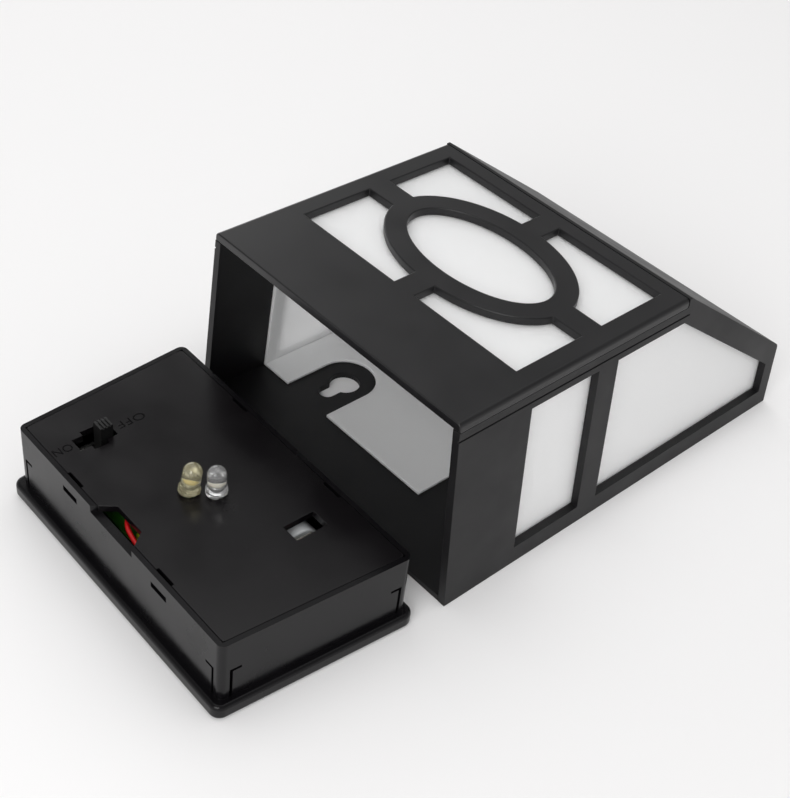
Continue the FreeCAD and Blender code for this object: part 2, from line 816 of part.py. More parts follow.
def make_switch_knob():
    """The knob, at OFF, with ribs across its top for a fingertip."""
    y = "switch_y + switch_travel / 2"
    foot = BOARD_FACE + " + switch_high / 2 + seam"
    post = box("knob_post", ("switch_x - knob_wide / 2", "%s - knob_long / 2" % y, foot),
               ("knob_wide", "knob_long", "module_height + knob_proud - (%s)" % foot))
    grooves = []
    for number in (-1, 0, 1):
        grooves.append(box("knob_groove_%d" % (number + 1),
                           ("switch_x - knob_wide", "%s + %d * rib_pitch - rib_deep / 2" % (y, number),
                            "module_height + knob_proud - rib_deep"),
                           ("knob_wide * 2", "rib_deep", "rib_deep * 2")))
    return cut("switch_knob", post, fuse("knob_grooves", grooves))


# The lamps lean a little on their soft leads: how far, and about which level axis.
LED_LEANS = {
    "near": ("-led_lean", Vector(0.6, -0.2, 0)),
    "far": ("led_lean / 2", Vector(0.3, 0.5, 0)),
}


def make_led(tag, x, y):
    """A round lamp: a flat-bottomed rim, a barrel and a dome, leaning on its leads."""
    rim = cylinder("led_rim_" + tag, ("0", "0", "0"), "led_rim", "led_rim_thick")
    barrel = cylinder("led_barrel_" + tag, ("0", "0", "0"), "led_radius", "led_high - led_radius")
    dome = doc.addObject("Part::Sphere", "led_dome_" + tag)
    tie(dome, {"Radius": "led_radius"})
    set_base(dome, "0", "0", "led_high - led_radius")
    lamp = fuse("led_whole_" + tag, [rim, barrel, dome])
    flat = box("led_flat_" + tag, ("led_radius", "-led_rim", "-cut_spare"),
               ("led_rim", "led_rim * 2", "led_rim_thick + cut_spare"))
    lamp = cut("led_lamp_" + tag, lamp, flat)
    lean, axis = LED_LEANS[tag]
    lamp.Placement = Placement(Vector(), Rotation(axis, worth(lean)))
    tie(lamp, {"Placement.Rotation.Angle": lean})
    set_base(lamp, x, y, "module_height + led_stand")
    return group("led_" + tag, [lamp])


def make_led_leads():
    """Two leads from each lamp, through the cover, down to the board."""
    leads = []
    for tag, x, y in LED_PLACES:
        drop = "lead_pitch / 2 * sin(abs(%s) * 1 deg)" % LED_LEANS[tag][0]
        high = "module_height + led_stand - seam * 2 - %s - %s" % (drop, BOARD_FACE)
        for number, side in enumerate(("-", "+")):
            foot = ("%s %s lead_pitch / 2" % (x, side), y, BOARD_FACE)
            leads.append(cylinder("lead_%s_%d" % (tag, number), foot, "lead_radius", high))
    return group("led_leads", leads)


# -------------------------------------------------------- battery and its holder

def battery_start():
    return "(battery_x - cell_long / 2)"


def make_battery():
    """A finger cell: a can with a rounded end and a raised button."""
    level = "(flange_thick + holder_wall + fit / 2 + cell_radius)"
    can = cylinder("battery_can", (battery_start(), "battery_y", level), "cell_radius", "cell_long",
                   along="X")

    def end_rim(edge):
        return edge.Curve.TypeId == "Part::GeomCircle"

    can = rounded("battery_rounded", can, "cell_round", end_rim)
    nub = cylinder("battery_nub", (battery_start() + " + cell_long - nub_high", "battery_y", level),
                   "nub_radius", "nub_high * 2", along="X")
    return fuse("battery", [can, nub])


def holder_low_x():
    return "(%s - spring_room - fit)" % battery_start()


HOLDER_ROOM = "(cell_long + spring_room + nub_high + contact_thick + fit * 2)"


def make_battery_holder():
    """A trough with end walls and a thumb gap in the middle of its long walls."""
    low = CASE_FLOOR
    half = "(cell_radius + fit)"
    block = box("holder_block",
                (holder_low_x() + " - holder_wall", "battery_y - %s - holder_wall" % half, low),
                (HOLDER_ROOM + " + holder_wall * 2", "%s * 2 + holder_wall * 2" % half, "holder_high"))
    room = box("holder_room", (holder_low_x(), "battery_y - " + half, low + " + holder_wall"),
               (HOLDER_ROOM, half + " * 2", "holder_high * 2"))
    gap = box("holder_gap",
              ("battery_x - thumb_gap / 2", "battery_y - cell_radius * 2", low + " + holder_high / 2"),
              ("thumb_gap", "cell_radius * 4", "holder_high"))
    return cut("battery_holder", block, fuse("holder_cuts", [room, gap]))


def make_plus_contact():
    """The flat plate against the battery's button, with a solder lug on top."""
    x = "(%s + cell_long + nub_high + fit / 2)" % battery_start()
    plate = box("plus_plate", (x, "battery_y - contact_wide / 2", CASE_FLOOR + " + holder_wall"),
                ("contact_thick", "contact_wide", "contact_high"))
    lug = box("plus_lug",
              (x, "battery_y - contact_wide / 4", CASE_FLOOR + " + holder_wall + contact_high - seam"),
              ("contact_thick", "contact_wide / 2", "contact_lug + seam"))
    return fuse("plus_contact", [plate, lug])


def make_spring_contact():
    """The plate and the bowed leaf that press on the battery's flat end."""
    x = "(%s + fit / 2)" % holder_low_x()
    low = CASE_FLOOR + " + holder_wall"
    plate = box("minus_plate", (x, "battery_y - contact_wide / 2", low),
                ("contact_thick", "contact_wide", "contact_high"))
    reach = "(spring_room - contact_thick + fit / 2 - seam)"
    leaf = prism("minus_leaf", "XZ", [
        (x + " + contact_thick / 2", low + " + contact_high / 4"),
        (x + " + contact_thick / 2", low + " + contact_high / 4 - contact_thick"),
        ("%s + contact_thick + %s" % (x, reach), low + " + contact_high / 2 - contact_thick / 2"),
        ("%s + contact_thick + %s" % (x, reach), low + " + contact_high / 2 + contact_thick"),
    ], "contact_wide / 2", start="battery_y + contact_wide / 4")
    back = prism("minus_back", "XZ", [
        (x + " + contact_thick / 2", low + " + contact_high * 3 / 4 + contact_thick"),
        (x + " + contact_thick / 2", low + " + contact_high * 3 / 4"),
        ("%s + contact_thick + %s - contact_thick" % (x, reach), low + " + contact_high / 2"),
        ("%s + contact_thick + %s" % (x, reach), low + " + contact_high / 2 + contact_thick"),
    ], "contact_wide / 2", start="battery_y + contact_wide / 4")
    return fuse("spring_contact", [plate, leaf, back])


# --------------------------------------------------------- small parts and wires

def make_driver_chip():
    """The lamp driver: a flat-faced case on four short legs."""
    case = box("chip_case", ("chip_x - chip_long / 2", "chip_y - chip_wide / 2", BOARD_FACE + " + chip_leg"),
               ("chip_long", "chip_wide", "chip_high"))
    legs = []
    for number in range(4):
        legs.append(box("chip_leg_%d" % number,
                        ("chip_x - chip_long / 2 + chip_long * (%d + 0.5) / 4 - chip_leg_wide / 2" % number,
                         "chip_y - chip_leg_wide / 2", BOARD_FACE),
                        ("chip_leg_wide", "chip_leg_wide", "chip_leg + seam")))
    return fuse("driver_chip", [case] + legs)


def make_inductor():
    """A drum core with its winding between two flanges."""
    base = ("coil_x", "coil_y", BOARD_FACE)
    foot = cylinder("coil_foot", base, "coil_radius", "coil_flange")
    core = cylinder("coil_winding", base, "coil_core_radius", "coil_high")
    head = cylinder("coil_head", ("coil_x", "coil_y", BOARD_FACE + " + coil_high - coil_flange"),
                    "coil_radius", "coil_flange")
    return fuse("inductor", [foot, core, head])


def make_resistor():
    """A small resistor lying on the board, dumbbell shaped."""
    level = BOARD_FACE + " + resistor_radius"
    body = cylinder("resistor_body", ("resistor_x", "resistor_y", level), "resistor_waist",
                    "resistor_long", along="X")
    ends = []
    for number in range(2):
        start = "resistor_x + resistor_long * 3 / 4 * %d" % number
        ends.append(cylinder("resistor_end_%d" % number, (start, "resistor_y", level),
                             "resistor_radius", "resistor_long / 4", along="X"))
    return fuse("resistor", [body] + ends)


def wire(name, places):
    """A soft wire through a list of places, its corners turned by tangent arcs."""
    spots = [Vector(worth(x), worth(y), worth(z)) for x, y, z in places]
    radius = size("wire_radius")
    edges = []
    start = spots[0]
    for before, corner, after in zip(spots, spots[1:], spots[2:]):
        arrive = (corner - before).normalize()
        leave = (after - corner).normalize()
        half_turn = arrive.getAngle(leave) / 2
        reach = 0.45 * min((corner - before).Length, (after - corner).Length)
        bend = reach / math.tan(half_turn)
        inward = (leave - arrive).normalize()
        centre = corner + inward * (bend / math.cos(half_turn))
        middle = centre - inward * bend
        edges.append(Part.LineSegment(start, corner - arrive * reach).toShape())
        edges.append(Part.Arc(corner - arrive * reach, middle, corner + leave * reach).toShape())
        start = corner + leave * reach
    edges.append(Part.LineSegment(start, spots[-1]).toShape())
    path = Part.Wire(edges)
    ring = Part.Wire([Part.makeCircle(radius, spots[0], spots[1] - spots[0])])
    result = doc.addObject("Part::Feature", name)
    result.Shape = path.makePipeShell([ring], True, False)
    expected = math.pi * radius ** 2 * path.Length
    print("%s: length %.1f, volume over section times length %.3f" % (
        name, path.Length, result.Shape.Volume / expected))
    return result


def make_wires():
    """Red and black from the cell's contacts and yellow from the panel, to the board."""
    on_board = BOARD_FACE + " + seam"
    contact_x = battery_start() + " + cell_long + nub_high + contact_thick + fit + wire_radius"
    lug_level = "flange_thick + holder_wall + contact_high + contact_lug / 2"
    red = wire("red_wire", [
        (contact_x, "battery_y", lug_level),
        ("35.5", "10.5", "17.4"),
        ("38.2", "1.0", "16.2"),
        ("34.8", "-10.0", "15.4"),
        ("26.0", "-18.0", "16.2"),
        ("14.5", near_wall("case_wall + 1.95"), "18.6"),
        ("4.5", near_wall("case_wall + 1.35"), "20.0"),
        ("-2.5", near_wall("case_wall + 2.95"), "20.2"),
        ("-6.5", near_wall("case_wall + 6.75"), "18.8"),
        ("-6.5", near_wall("case_wall + 6.75"), on_board),
    ])
    yellow = wire("yellow_wire", [
        ("wire_hole_x", "wire_hole_y", "panel_recess + seam"),
        ("16.8", "-17.3", "8.5"),
        ("15.8", near_wall("case_wall + 4.75"), "13.2"),
        ("10.8", near_wall("case_wall + 1.75"), "17.2"),
        ("4.5", near_wall("case_wall + 2.15"), "17.9"),
        ("-0.5", near_wall("case_wall + 5.35"), "17.6"),
        ("-0.5", near_wall("case_wall + 5.35"), on_board),
    ])
    black = wire("black_wire", [
        (holder_low_x() + " - wire_radius", "battery_y", lug_level),
        ("-33.5", "9.0", "18.0"),
        ("-33.0", "4.0", "18.8"),
        ("-30.0", "-0.2", "18.4"),
        ("-30.0", "-3.2", "17.6"),
        ("-30.0", "-3.2", on_board),
    ])
    return [red, yellow, black]


# --------------------------------------------------------------- the assembly

def lay_down(piece):
    """Put a piece of the module where the module lies beside the mouth."""
    piece.Placement = Placement(Vector(), Rotation(UP, size("module_turn")))
    tie(piece, {"Placement.Rotation.Angle": "module_turn"})
    set_base(piece, "module_x", along("-module_away"), "0")
    return piece


def build():
    outer = wedge_body("housing_block", "0", "0", "0", "0", "0")
    housing = [make_shell(outer), make_front_frame(outer), make_back_plate(), make_diffuser()]
    module = [make_module_case(), make_underside_cover(), make_panel_seal(), make_panel_board(),
              make_solar_cells(), make_panel_resin(), make_circuit_board(), make_board_screws(),
              make_switch_body(), make_switch_knob(), make_led_leads(), make_battery(),
              make_battery_holder(), make_plus_contact(), make_spring_contact(), make_driver_chip(),
              make_inductor(), make_resistor()]
    module += [make_led(tag, x, y) for tag, x, y in LED_PLACES]
    module += make_wires()
    return housing + [lay_down(piece) for piece in module]


def check(nodes):
    """Stop if anything failed, or if a piece is not one or more good solids."""
    doc.recompute()
    for thing in doc.Objects:
        if "Invalid" in thing.State or "Error" in thing.State:
            raise RuntimeError("%s failed: %s" % (thing.Name, thing.State))
    for node in nodes:
        shape = node.Shape
        if shape.isNull() or not shape.isValid() or not shape.Solids:
            raise RuntimeError("%s is not a valid solid" % node.Label)


nodes = build()
check(nodes)
os.makedirs("parts", exist_ok=True)
for node in nodes:
    node.Shape.exportStep("parts/%s.step" % node.Label)
    print("%-18s %2d solid(s) %9.1f mm3" % (node.Label, len(node.Shape.Solids), node.Shape.Volume))
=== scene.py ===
"""The looks of a solar fence light that lies on its back beside its own solar module.

The housing and the module's shells are satin black ABS mouldings with softened edges, the liner is
frosted polypropylene, and two clear 5 mm lamps stand on the module.  A name that ends in _MM holds
millimetres and one that ends in _DEG degrees; other lengths are in metres.
"""
import math

import bmesh
import bpy
from mathutils import Matrix, Vector


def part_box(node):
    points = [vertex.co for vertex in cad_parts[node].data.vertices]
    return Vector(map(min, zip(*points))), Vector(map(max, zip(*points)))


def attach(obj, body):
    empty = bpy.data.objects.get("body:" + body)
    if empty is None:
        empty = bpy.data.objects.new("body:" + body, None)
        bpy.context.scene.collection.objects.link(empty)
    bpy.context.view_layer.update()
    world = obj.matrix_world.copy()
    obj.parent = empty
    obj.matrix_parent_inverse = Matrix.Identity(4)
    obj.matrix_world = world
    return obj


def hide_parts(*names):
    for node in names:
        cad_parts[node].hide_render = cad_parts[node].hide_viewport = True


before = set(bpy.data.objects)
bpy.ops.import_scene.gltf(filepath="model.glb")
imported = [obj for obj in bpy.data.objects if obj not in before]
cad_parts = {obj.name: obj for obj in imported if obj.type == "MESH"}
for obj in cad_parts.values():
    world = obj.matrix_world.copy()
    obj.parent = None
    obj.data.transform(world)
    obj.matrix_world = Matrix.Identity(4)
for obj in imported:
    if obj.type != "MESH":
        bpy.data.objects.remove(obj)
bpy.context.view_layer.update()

MM = 0.001


# ------------------------------------------------------------------- materials

def linear(code):
    """An sRGB hex colour as linear light, with full alpha."""
    parts = [int(code[i:i + 2], 16) / 255 for i in (1, 3, 5)]
    light = [c / 12.92 if c <= 0.04045 else ((c + 0.055) / 1.055) ** 2.4 for c in parts]
    return (*light, 1.0)


def add(tree, kind, settings=None, values=None, links=None):
    """Add one node, with its settings, socket values and incoming links."""
    node = tree.nodes.new(kind)
    for name, value in (settings or {}).items():
        setattr(node, name, value)
    for socket, value in (values or {}).items():
        node.inputs[socket].default_value = value
    for socket, source in (links or {}).items():
        tree.links.new(source, node.inputs[socket])
    return node


def new_material(name):
    """An empty node material with its output, and the object's own coordinates."""
    material = bpy.data.materials.new(name)
    material.use_nodes = True
    tree = material.node_tree
    tree.nodes.clear()
    output = add(tree, "ShaderNodeOutputMaterial")
    place = add(tree, "ShaderNodeTexCoord").outputs["Object"]
    return material, tree, output, place


def per_mm(size_mm):
    """The texture scale that makes one cell this many millimetres wide."""
    return 1 / (size_mm * MM)


def finish_surface(tree, output, shader):
    """Join a finished shader to the output of its material, or of the world."""
    tree.links.new(shader.outputs[0], output.inputs["Surface"])


def moulded_plastic(name, colour, worn_colour, roughness, spark_mm=0.35, cloud_mm=14, bump=0.05,
                    specular=0.5):
    """Injection-moulded plastic: spark-eroded grain, soft clouds of handling, satin gloss.

    The grain is drawn coarser than the real one, which is too fine to show.
    """
    material, tree, output, place = new_material(name)
    grain = add(tree, "ShaderNodeTexNoise", values={"Scale": per_mm(spark_mm), "Detail": 3.0},
                links={"Vector": place})
    cloud = add(tree, "ShaderNodeTexNoise", values={"Scale": per_mm(cloud_mm), "Detail": 4.0},
                links={"Vector": place})
    tint = add(tree, "ShaderNodeMix", {"data_type": "RGBA"},
               {"A": linear(colour), "B": linear(worn_colour)}, {"Factor": cloud.outputs["Fac"]})
    gloss = add(tree, "ShaderNodeMapRange",
                values={"From Min": 0.3, "From Max": 0.7, "To Min": roughness - 0.05,
                        "To Max": roughness + 0.06}, links={"Value": cloud.outputs["Fac"]})
    relief = add(tree, "ShaderNodeBump", values={"Strength": bump, "Distance": 0.02 * MM},
                 links={"Height": grain.outputs["Fac"]})
    shader = add(tree, "ShaderNodeBsdfPrincipled", values={"IOR": 1.53, "Specular IOR Level": specular},
                 links={"Base Color": tint.outputs["Result"], "Roughness": gloss.outputs["Result"],
                        "Normal": relief.outputs["Normal"]})
    finish_surface(tree, output, shader)
    return material


def frosted_polypropylene():
    """The liner: milky polypropylene sheet, fine matt grain, light passes through softly."""
    material, tree, output, place = new_material("frosted polypropylene")
    grain = add(tree, "ShaderNodeTexNoise", values={"Scale": per_mm(0.5), "Detail": 2.0},
                links={"Vector": place})
    cloud = add(tree, "ShaderNodeTexNoise", values={"Scale": per_mm(22), "Detail": 2.0},
                links={"Vector": place})
    tint = add(tree, "ShaderNodeMix", {"data_type": "RGBA"},
               {"A": linear("#ffffff"), "B": linear("#f9fafb")}, {"Factor": cloud.outputs["Fac"]})
    relief = add(tree, "ShaderNodeBump", values={"Strength": 0.08, "Distance": 0.02 * MM},
                 links={"Height": grain.outputs["Fac"]})
    shader = add(tree, "ShaderNodeBsdfPrincipled",
                 values={"IOR": 1.49, "Roughness": 0.42, "Specular IOR Level": 0.4,
                         "Subsurface Weight": 1.0, "Subsurface Radius": (1.0, 1.0, 1.0),
                         "Subsurface Scale": 3.0 * MM},
                 links={"Base Color": tint.outputs["Result"], "Normal": relief.outputs["Normal"]})
    finish_surface(tree, output, shader)
    return material


def clear_epoxy(name, colour, roughness, clear=1.0):
    """Cast epoxy: clear, with a faint cast of its own and slow waves in its skin."""
    material, tree, output, place = new_material(name)
    waves = add(tree, "ShaderNodeTexNoise", values={"Scale": per_mm(2.5), "Detail": 1.0},
                links={"Vector": place})
    relief = add(tree, "ShaderNodeBump", values={"Strength": 0.12, "Distance": 0.05 * MM},
                 links={"Height": waves.outputs["Fac"]})
    shader = add(tree, "ShaderNodeBsdfPrincipled",
                 values={"Base Color": linear(colour), "Roughness": roughness, "IOR": 1.53,
                         "Transmission Weight": clear},
                 links={"Normal": relief.outputs["Normal"]})
    finish_surface(tree, output, shader)
    return material


def metal(name, colour, dull_colour, roughness, streak_mm=0.4):
    """Rolled or plated metal: short streaks from the rolls, a little tarnish."""
    material, tree, output, place = new_material(name)
    stretch = add(tree, "ShaderNodeMapping", values={"Scale": (0.15, 1.0, 1.0)}, links={"Vector": place})
    streak = add(tree, "ShaderNodeTexNoise", values={"Scale": per_mm(streak_mm), "Detail": 3.0},
                 links={"Vector": stretch.outputs["Vector"]})
    tint = add(tree, "ShaderNodeMix", {"data_type": "RGBA"},
               {"A": linear(colour), "B": linear(dull_colour)}, {"Factor": streak.outputs["Fac"]})
    gloss = add(tree, "ShaderNodeMapRange",
                values={"To Min": roughness * 0.7, "To Max": roughness * 1.4},
                links={"Value": streak.outputs["Fac"]})
    shader = add(tree, "ShaderNodeBsdfPrincipled", values={"Metallic": 1.0},
                 links={"Base Color": tint.outputs["Result"], "Roughness": gloss.outputs["Result"]})
    finish_surface(tree, output, shader)
    return material


def coated(name, colour, shade, roughness, cell_mm, coat=0.0, bump=0.1):
    """A coloured surface with fine specks: lacquer, solder mask, vinyl, foam or shrink sleeve."""
    material, tree, output, place = new_material(name)
    speck = add(tree, "ShaderNodeTexNoise", values={"Scale": per_mm(cell_mm), "Detail": 3.0},
                links={"Vector": place})
    tint = add(tree, "ShaderNodeMix", {"data_type": "RGBA"},
               {"A": linear(colour), "B": linear(shade)}, {"Factor": speck.outputs["Fac"]})
    relief = add(tree, "ShaderNodeBump", values={"Strength": bump, "Distance": 0.05 * MM},
                 links={"Height": speck.outputs["Fac"]})
    shader = add(tree, "ShaderNodeBsdfPrincipled", values={"Roughness": roughness, "Coat Weight": coat},
                 links={"Base Color": tint.outputs["Result"], "Normal": relief.outputs["Normal"]})
    finish_surface(tree, output, shader)
    return material


# Moulded ABS is near black, with a broad soft sheen; the front is a little glossier than the walls,
# and the module's shells are smoother still.  The etched words are matt and painted a darker black,
# which is painted shade standing in for the shade inside an engraving.
BLACK_ABS = moulded_plastic("satin black ABS", "#0b0a0c", "#100f11", 0.50, specular=0.32)
FRAME_ABS = moulded_plastic("satin black ABS, front", "#0c0b0d", "#121113", 0.36, specular=0.40)
COVER_ABS = moulded_plastic("spark-eroded black ABS, cover", "#0a080a", "#0f0d0f", 0.22, cloud_mm=20,
                            specular=0.30)
CASE_ABS = moulded_plastic("satin black ABS, case", "#0a090b", "#0f0e10", 0.24, specular=0.20)
# The lettering's darker colour is painted shade: the words stand only a hair proud, so the dark stands
# in for an engraving's shade.
LETTER_ABS_PAINTED_SHADE = moulded_plastic("etched black ABS, lettering with painted shade", "#050405", "#070607", 0.85, specular=0.1)
KNOB_NYLON = moulded_plastic("moulded black nylon", "#0c0c0c", "#121212", 0.42, spark_mm=0.25,
                             specular=0.30)
HOLDER = moulded_plastic("moulded black polypropylene", "#1b1b1c", "#212122", 0.5)

# Frosted polypropylene glows evenly where light falls on it from either side.
LINER = frosted_polypropylene()

# Cast epoxy is clear.  The near lamp is yellowed, and both keep a little of the cast's own colour.
NEAR_LAMP_EPOXY = clear_epoxy("clear lamp epoxy, yellowed", "#fbf4cf", roughness=0.05, clear=0.86)
FAR_LAMP_EPOXY = clear_epoxy("clear lamp epoxy", "#fcfcfc", roughness=0.03, clear=0.88)
PANEL_EPOXY = clear_epoxy("clear cast panel epoxy", "#f4f8fb", roughness=0.08)

# Bright plated metals show sharp highlights with faint streaks; the fired paste is duller.
TIN = metal("tin-plated steel", "#d8d8d6", "#b4b4b0", 0.22)
ZINC = metal("zinc-plated steel", "#c6c9cc", "#9fa3a6", 0.30)
NICKEL = metal("nickel-plated spring steel", "#dcd8cf", "#bdb8ad", 0.18)
SILVER = metal("fired silver paste", "#d9dadb", "#bfc0c1", 0.35, streak_mm=0.2)

# The cells, the boards, the foam, the battery's sleeve and the small parts have even colours, matt or
# glossy as the real coat is.
SILICON = coated("dark blue silicon", "#111a33", "#0b1226", 0.25, cell_mm=2.0, coat=0.3)
LAMINATE = coated("white glass-epoxy laminate", "#e9ebe8", "#dcdfdb", 0.45, cell_mm=0.8)
SOLDER_MASK = coated("green solder mask", "#2f6a1c", "#275a17", 0.32, cell_mm=1.6, coat=0.3)
FOAM = coated("closed-cell foam tape", "#262626", "#191919", 0.85, cell_mm=0.4, bump=0.5)
SLEEVE = coated("silver shrink sleeve", "#e4e6e7", "#d6d9db", 0.22, cell_mm=6.0, coat=0.4)
CHIP = coated("black epoxy case", "#1a1a1a", "#121212", 0.55, cell_mm=0.3)
COPPER = coated("enamelled copper wire", "#a3562b", "#7f3e1c", 0.25, cell_mm=0.5, coat=0.5)
FERRITE = coated("ferrite", "#3a3a3c", "#2c2c2e", 0.6, cell_mm=0.3)
LACQUER = coated("tan resistor lacquer", "#c9ad7c", "#b8996a", 0.35, cell_mm=0.9)

# Vinyl insulation is evenly coloured and slightly glossy.
RED_VINYL = coated("red vinyl insulation", "#c8161a", "#a90f14", 0.35, cell_mm=0.8)
YELLOW_VINYL = coated("yellow-green vinyl insulation", "#b8c019", "#a0a912", 0.35, cell_mm=0.8)
BLACK_VINYL = coated("black vinyl insulation", "#1b1b1b", "#141414", 0.38, cell_mm=0.8)

# The phosphor is the only colour inside a lamp, a creamy drop over its cup.
NEAR_PHOSPHOR = coated("yellow lamp phosphor", "#fbf2bd", "#f0d68c", 0.35, cell_mm=1.2, coat=0.5)
FAR_PHOSPHOR = coated("pale lamp phosphor", "#fbf8ea", "#efe6c8", 0.35, cell_mm=1.2, coat=0.5)


# --------------------------------------------------------------- mesh functions

MERGE_MM = 0.002
FLAT_DEG = 0.6          # faces that differ by less than this are one flat face
SHARP_DEG = 28          # edges sharper than this have a mould radius
EDGE_SEGMENTS = 2
FLAT_FACE_WEIGHT = 80
TURN_STEPS = 32
SLAB_EDGE_SHARE = 0.2   # a slab's edge radius, as a share of its thinnest side


def in_scene(name, data):
    """Put a new object in the scene around its mesh, lettering, light or camera."""
    thing = bpy.data.objects.new(name, data)
    bpy.context.scene.collection.objects.link(thing)
    return thing


def piece_from(work, name):
    """A new piece from a finished edit mesh, which is freed."""
    mesh = bpy.data.meshes.new(name)
    work.to_mesh(mesh)
    work.free()
    return in_scene(name, mesh)


def shade_smooth(piece):
    """Shade every face as part of one curved skin."""
    for face in piece.data.polygons:
        face.use_smooth = True


def clean_copy(node, name):
    """A merged copy of a CAD node's mesh, with its flat faces made whole again."""
    piece = in_scene(name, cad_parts[node].data.copy())
    piece.data.materials.clear()
    work = bmesh.new()
    work.from_mesh(piece.data)
    bmesh.ops.remove_doubles(work, verts=work.verts, dist=MERGE_MM * MM)
    bmesh.ops.dissolve_limit(work, angle_limit=math.radians(FLAT_DEG), verts=work.verts,
                             edges=work.edges, delimit={"NORMAL"})
    work.to_mesh(piece.data)
    work.free()
    return piece


def plain_mesh(thing):
    """The mesh that a piece has with its modifiers, or lettering with its depth."""
    bpy.context.view_layer.update()
    evaluated = thing.evaluated_get(bpy.context.evaluated_depsgraph_get())
    return bpy.data.meshes.new_from_object(evaluated)


def baked(piece):
    """Turn a piece with its modifiers into a plain mesh."""
    mesh = plain_mesh(piece)
    piece.modifiers.clear()
    piece.data = mesh
    return piece


def soften(piece, radius_mm):
    """Round a moulding's sharp edges, as its mould leaves them, and shade it smooth."""
    bevel = piece.modifiers.new("mould_radius", "BEVEL")
    bevel.width = radius_mm * MM
    bevel.segments = EDGE_SEGMENTS
    bevel.limit_method = "ANGLE"
    bevel.angle_limit = math.radians(SHARP_DEG)
    bevel.use_clamp_overlap = True
    return level_shading(piece)


def level_shading(piece):
    """Shade smooth, with each flat face keeping its own direction."""
    shade_smooth(piece)
    weigh = piece.modifiers.new("level_faces", "WEIGHTED_NORMAL")
    weigh.mode = "FACE_AREA"
    weigh.weight = FLAT_FACE_WEIGHT
    return baked(piece)


def dress(piece, material, body, slot, *nodes):
    """Give a piece its material, the body it rides on and what it stands for; its slot is not used."""
    piece.data.materials.clear()
    piece.data.materials.append(material)
    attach(piece, body)
    if nodes:
        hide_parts(*nodes)
    return piece


def dress_node(node, material):
    """Give a CAD node that stays as it is its real material."""
    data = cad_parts[node].data
    data.materials.clear()
    data.materials.append(material)


def turned(name, outline_mm):
    """A closed solid of revolution about Z, from (radius, height) corners."""
    work = bmesh.new()
    verts = [work.verts.new((radius * MM, 0, height * MM)) for radius, height in outline_mm]
    edges = [work.edges.new(pair) for pair in zip(verts, verts[1:])]
    bmesh.ops.spin(work, geom=verts + edges, cent=(0, 0, 0), axis=(0, 0, 1), angle=math.tau,
                   steps=TURN_STEPS)
    bmesh.ops.remove_doubles(work, verts=work.verts, dist=MERGE_MM * MM)
    bmesh.ops.recalc_face_normals(work, faces=work.faces)
    piece = piece_from(work, name)
    shade_smooth(piece)
    return piece


def slab(name, low_mm, high_mm):
    """A small closed block between two corners, its edges softened."""
    work = bmesh.new()
    bmesh.ops.create_cube(work, size=1.0)
    span = [(high - low) * MM for low, high in zip(low_mm, high_mm)]
    middle = [(high + low) / 2 * MM for low, high in zip(low_mm, high_mm)]
    place = Matrix.Translation(middle) @ Matrix.Diagonal((*span, 1.0))
    bmesh.ops.transform(work, matrix=place, verts=work.verts)
    bmesh.ops.bevel(work, geom=work.edges[:], offset=min(span) * SLAB_EDGE_SHARE, segments=1,
                    affect="EDGES")
    return piece_from(work, name)


def rule_tree(name, inputs):
    """An empty node tree with one shape coming out, and the identifiers of its named inputs."""
    tree = bpy.data.node_groups.new(name, "GeometryNodeTree")
    tree.interface.new_socket("Geometry", in_out="OUTPUT", socket_type="NodeSocketGeometry")
    sockets = {}
    for label, kind in inputs.items():
        socket = tree.interface.new_socket(label, in_out="INPUT", socket_type=kind)
        sockets[label] = socket.identifier
    return tree, sockets


def end_rule(tree, shape, material):
    """End a node tree with real geometry that has its material."""
    solid = add(tree, "GeometryNodeRealizeInstances", links={"Geometry": shape})
    finished = add(tree, "GeometryNodeSetMaterial", values={"Material": material},
                   links={"Geometry": solid.outputs["Geometry"]})
    add(tree, "NodeGroupOutput", links={"Geometry": finished.outputs["Geometry"]})


def made_by_rule(name, tree, sockets, sizes):
    """The piece that a node tree makes from its sizes, as a plain mesh."""
    piece = in_scene(name, bpy.data.meshes.new(name))
    modifier = piece.modifiers.new("rule", "NODES")
    modifier.node_group = tree
    for label, value in sizes.items():
        modifier[sockets[label]] = value
    return baked(piece)


# ------------------------------------------------------------------- mouldings

EDGE_RADIUS_MM = {
    "housing_shell": 0.35, "front_frame": 0.4, "back_plate": 0.25, "diffuser": 0.2,
    "module_case": 0.3, "underside_cover": 0.22, "switch_knob": 0.12,
}


def moulding(node, name, material, body, slot):
    """A CAD node's own shape with softened edges, dressed and put in the node's place."""
    piece = soften(clean_copy(node, name), EDGE_RADIUS_MM[node])
    dress(piece, material, body, slot, node)


def make_housing():
    """The housing's walls, its grille, its back and the liner inside."""
    moulding("housing_shell", "housing_walls", BLACK_ABS, "housing", "black_housing")
    moulding("front_frame", "oval_grille_front", FRAME_ABS, "housing", "black_frame")
    moulding("back_plate", "keyhole_back", BLACK_ABS, "housing", "black_back")
    moulding("diffuser", "frosted_tray", LINER, "housing", "frosted_liner")


def make_module_shells():
    """The solar module's case and cover, and the knob of its switch."""
    moulding("module_case", "module_tray", CASE_ABS, "solar_module", "black_case")
    moulding("underside_cover", "snap_cover", COVER_ABS, "solar_module", "black_cover")
    moulding("switch_knob", "slide_knob", KNOB_NYLON, "switch", "black_knob")


# ---------------------------------------------------------------- solar module

# The module lies a little turned.  Its own frame is on the table, at the module's middle.
MODULE_AT = Vector((-0.4, -73.2, 0.0)) * MM
MODULE_TURN_DEG = -1.15
MODULE = Matrix.Translation(MODULE_AT) @ Matrix.Rotation(math.radians(MODULE_TURN_DEG), 4, "Z")
COVER_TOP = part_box("underside_cover")[1].z

LETTER_HIGH_MM = 2.6
LETTER_PROUD_MM = 0.03
LETTER_SLIM_MM = 0.02   # taken off each side of a stroke
LETTER_SPACING = 1.05
LETTER_MERGE_MM = 0.001
CAP_PER_SIZE = 0.7      # a capital's height, as a share of the letter size
WORD_TURN_DEG = -90
